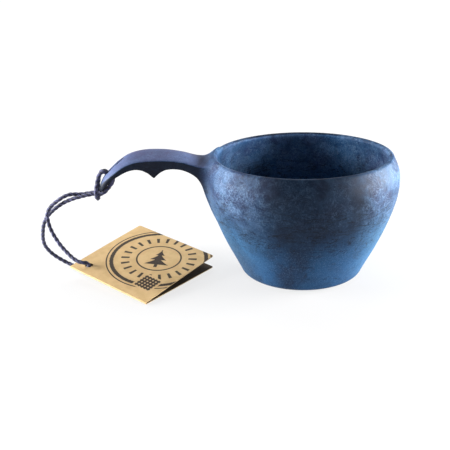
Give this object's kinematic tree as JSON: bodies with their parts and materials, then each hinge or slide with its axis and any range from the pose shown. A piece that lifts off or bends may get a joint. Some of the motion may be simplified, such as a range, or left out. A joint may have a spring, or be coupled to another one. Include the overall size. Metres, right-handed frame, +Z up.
{
  "type": "kuksa cup",
  "caption": "Drinking cup moulded with its finger-notched handle, with a cord hitched through the slot at the handle's tip and a folded card tag on the cord.",
  "frame": {"origin": "middle of the flat base, on the bowl's axis", "axes": "+Z up along the bowl's axis, -X along the handle, the XZ plane halves the cup"},
  "size_m": [0.2095, 0.1098, 0.0745],
  "materials": {
    "composite": "smooth moulded wood-fibre composite, mottled blue, satin",
    "cord": "two-ply twisted cord, dark navy",
    "card": "uncoated kraft card, printed dark brown"
  },
  "bodies": {
    "cup": {"kuksa_cup": "composite", "cord_hitch": "cord", "cord_front_strand": "cord", "cord_back_strand": "cord", "cord_end_knot": "cord"},
    "tag_back": {"tag_back_leaf": "card"},
    "tag_front": {"tag_front_leaf": "card"}
  },
  "joints": [
    {"name": "tag_swivel", "type": "hinge", "parent": "cup", "child": "tag_back", "pos_m": [-0.12495, -0.00795, 0.007], "axis": [0, 0, 1], "range_deg": [-90, 60]},
    {"name": "tag_fold", "type": "hinge", "parent": "tag_back", "child": "tag_front", "pos_m": [-0.1356, -0.0085, 0.0078], "axis": [0.7859, -0.6074, -0.116], "range_deg": [-6.4, 7]}
  ]
}
